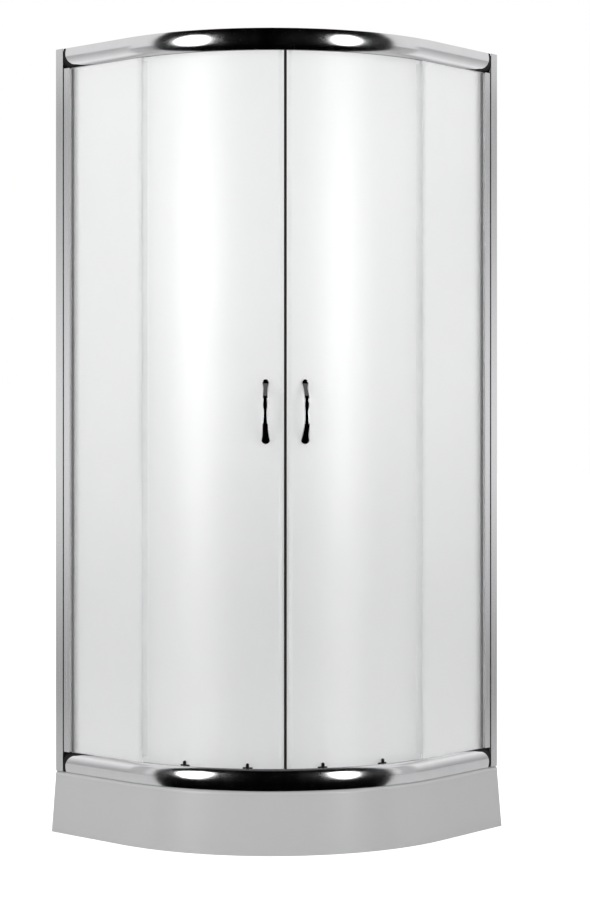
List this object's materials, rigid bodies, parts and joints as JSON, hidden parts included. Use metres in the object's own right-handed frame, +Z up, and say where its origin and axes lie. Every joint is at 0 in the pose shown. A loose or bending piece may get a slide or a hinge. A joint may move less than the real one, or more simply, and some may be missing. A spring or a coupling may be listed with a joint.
{
  "type": "quadrant shower enclosure",
  "caption": "Quadrant shower enclosure with curved sliding doors on rollers, frosted panes, polished rails and a low white tray on adjustable feet.",
  "frame": {"origin": "on the floor, in the middle of the tray's square", "axes": "+Z up; the room corner is at -X +Y, and the round front faces +X -Y"},
  "size_m": [0.8, 0.8, 1.95],
  "materials": {
    "acrylic": "glossy white sanitary acrylic",
    "board": "sealed plywood",
    "frame_steel": "grey powder coat",
    "zinc_steel": "zinc plated",
    "black_plastic": "satin moulded",
    "white_plastic": "satin moulded",
    "grey_plastic": "satin extruded",
    "white_nylon": "turned nylon",
    "grey_rubber": "matte",
    "clear_seal": "clear flexible extrusion",
    "black_magnet": "matte",
    "satin_glass": "satin, one side etched",
    "rail_chrome": "polished",
    "bright_aluminium": "bright anodised",
    "chrome": "polished"
  },
  "bodies": {
    "root": {"tray_shell": "acrylic", "tray_support_board": "board", "tray_frame": "frame_steel", "foot_pads": "black_plastic", "foot_studs": "zinc_steel", "foot_nuts": "zinc_steel", "waste_flange": "chrome", "waste_gasket": "grey_rubber", "waste_trap": "white_plastic", "water_cup": "white_plastic", "outlet_pipe": "grey_plastic", "bottom_rail": "rail_chrome", "top_rail": "rail_chrome", "door_stops": "grey_rubber", "frame_screws": "zinc_steel", "wall_profile_left": "bright_aluminium", "frame_post_left": "bright_aluminium", "rail_end_caps_left": "black_plastic", "fixed_glass_left": "satin_glass", "glass_gasket_left": "grey_rubber", "fixed_edge_seal_left": "clear_seal", "wall_profile_right": "bright_aluminium", "frame_post_right": "bright_aluminium", "rail_end_caps_right": "black_plastic", "fixed_glass_right": "satin_glass", "glass_gasket_right": "grey_rubber", "fixed_edge_seal_right": "clear_seal"},
    "left_door": {"door_glass_left": "satin_glass", "magnet_seal_left": "clear_seal", "magnet_bar_left": "black_magnet", "rear_seal_left": "clear_seal", "drip_seal_left": "clear_seal", "handle_left": "chrome", "handle_screws_left": "chrome", "roller_caps_left": "chrome", "top_roller_axles_left": "zinc_steel", "bottom_roller_carriers_left": "black_plastic"},
    "right_door": {"door_glass_right": "satin_glass", "magnet_seal_right": "clear_seal", "magnet_bar_right": "black_magnet", "rear_seal_right": "clear_seal", "drip_seal_right": "clear_seal", "handle_right": "chrome", "handle_screws_right": "chrome", "roller_caps_right": "chrome", "top_roller_axles_right": "zinc_steel", "bottom_roller_carriers_right": "black_plastic"},
    "top_wheel_front_left": {"top_wheel_front_left": "white_nylon"},
    "bottom_wheel_front_left": {"bottom_wheel_front_left": "white_nylon"},
    "release_plunger_front_left": {"release_plunger_front_left": "black_plastic"},
    "top_wheel_rear_left": {"top_wheel_rear_left": "white_nylon"},
    "bottom_wheel_rear_left": {"bottom_wheel_rear_left": "white_nylon"},
    "release_plunger_rear_left": {"release_plunger_rear_left": "black_plastic"},
    "top_wheel_front_right": {"top_wheel_front_right": "white_nylon"},
    "bottom_wheel_front_right": {"bottom_wheel_front_right": "white_nylon"},
    "release_plunger_front_right": {"release_plunger_front_right": "black_plastic"},
    "top_wheel_rear_right": {"top_wheel_rear_right": "white_nylon"},
    "bottom_wheel_rear_right": {"bottom_wheel_rear_right": "white_nylon"},
    "release_plunger_rear_right": {"release_plunger_rear_right": "black_plastic"},
    "cover": {"drain_cover": "chrome"}
  },
  "joints": [
    {"name": "left_door_slide", "type": "hinge", "parent": "root", "child": "left_door", "pos_m": [-0.15, 0.15, 0], "axis": [0, 0, -1], "range_deg": [0, 22]},
    {"name": "right_door_slide", "type": "hinge", "parent": "root", "child": "right_door", "pos_m": [-0.15, 0.15, 0], "axis": [0, 0, 1], "range_deg": [0, 22]},
    {"name": "top_wheel_front_left_spin", "type": "hinge", "parent": "left_door", "child": "top_wheel_front_left", "pos_m": [0.14232, -0.27059, 1.9204], "axis": [0.5707, -0.8211, 0], "continuous": true},
    {"name": "release_plunger_front_left_press", "type": "slide", "parent": "left_door", "child": "release_plunger_front_left", "axis": [0, 0, 1], "range_m": [-0.007, 0], "stiffness_N_per_m": 600, "springref_m": 0.0015},
    {"name": "bottom_wheel_front_left_spin", "type": "hinge", "parent": "release_plunger_front_left", "child": "bottom_wheel_front_left", "pos_m": [0.14232, -0.27059, 0.1796], "axis": [0.5707, -0.8211, 0], "continuous": true},
    {"name": "top_wheel_rear_left_spin", "type": "hinge", "parent": "left_door", "child": "top_wheel_rear_left", "pos_m": [-0.00025, -0.33982, 1.9204], "axis": [0.2924, -0.9563, 0], "continuous": true},
    {"name": "release_plunger_rear_left_press", "type": "slide", "parent": "left_door", "child": "release_plunger_rear_left", "axis": [0, 0, 1], "range_m": [-0.007, 0], "stiffness_N_per_m": 600, "springref_m": 0.0015},
    {"name": "bottom_wheel_rear_left_spin", "type": "hinge", "parent": "release_plunger_rear_left", "child": "bottom_wheel_rear_left", "pos_m": [-0.00025, -0.33982, 0.1796], "axis": [0.2924, -0.9563, 0], "continuous": true},
    {"name": "top_wheel_front_right_spin", "type": "hinge", "parent": "right_door", "child": "top_wheel_front_right", "pos_m": [0.27059, -0.14232, 1.9204], "axis": [0.8211, -0.5707, 0], "continuous": true},
    {"name": "release_plunger_front_right_press", "type": "slide", "parent": "right_door", "child": "release_plunger_front_right", "axis": [0, 0, 1], "range_m": [-0.007, 0], "stiffness_N_per_m": 600, "springref_m": 0.0015},
    {"name": "bottom_wheel_front_right_spin", "type": "hinge", "parent": "release_plunger_front_right", "child": "bottom_wheel_front_right", "pos_m": [0.27059, -0.14232, 0.1796], "axis": [0.8211, -0.5707, 0], "continuous": true},
    {"name": "top_wheel_rear_right_spin", "type": "hinge", "parent": "right_door", "child": "top_wheel_rear_right", "pos_m": [0.33982, 0.00025, 1.9204], "axis": [0.9563, -0.2924, 0], "continuous": true},
    {"name": "release_plunger_rear_right_press", "type": "slide", "parent": "right_door", "child": "release_plunger_rear_right", "axis": [0, 0, 1], "range_m": [-0.007, 0], "stiffness_N_per_m": 600, "springref_m": 0.0015},
    {"name": "bottom_wheel_rear_right_spin", "type": "hinge", "parent": "release_plunger_rear_right", "child": "bottom_wheel_rear_right", "pos_m": [0.33982, 0.00025, 0.1796], "axis": [0.9563, -0.2924, 0], "continuous": true},
    {"name": "drain_cover_lift", "type": "slide", "parent": "root", "child": "cover", "axis": [0, 0, 1], "range_m": [0, 0.12]}
  ],
  "couplings": [
    {"joint": "top_wheel_front_left_spin", "follows": "left_door_slide", "ratio": 52.163},
    {"joint": "bottom_wheel_front_left_spin", "follows": "left_door_slide", "ratio": -52.163},
    {"joint": "top_wheel_rear_left_spin", "follows": "left_door_slide", "ratio": 52.163},
    {"joint": "bottom_wheel_rear_left_spin", "follows": "left_door_slide", "ratio": -52.163},
    {"joint": "top_wheel_front_right_spin", "follows": "right_door_slide", "ratio": -52.163},
    {"joint": "bottom_wheel_front_right_spin", "follows": "right_door_slide", "ratio": 52.163},
    {"joint": "top_wheel_rear_right_spin", "follows": "right_door_slide", "ratio": -52.163},
    {"joint": "bottom_wheel_rear_right_spin", "follows": "right_door_slide", "ratio": 52.163}
  ]
}
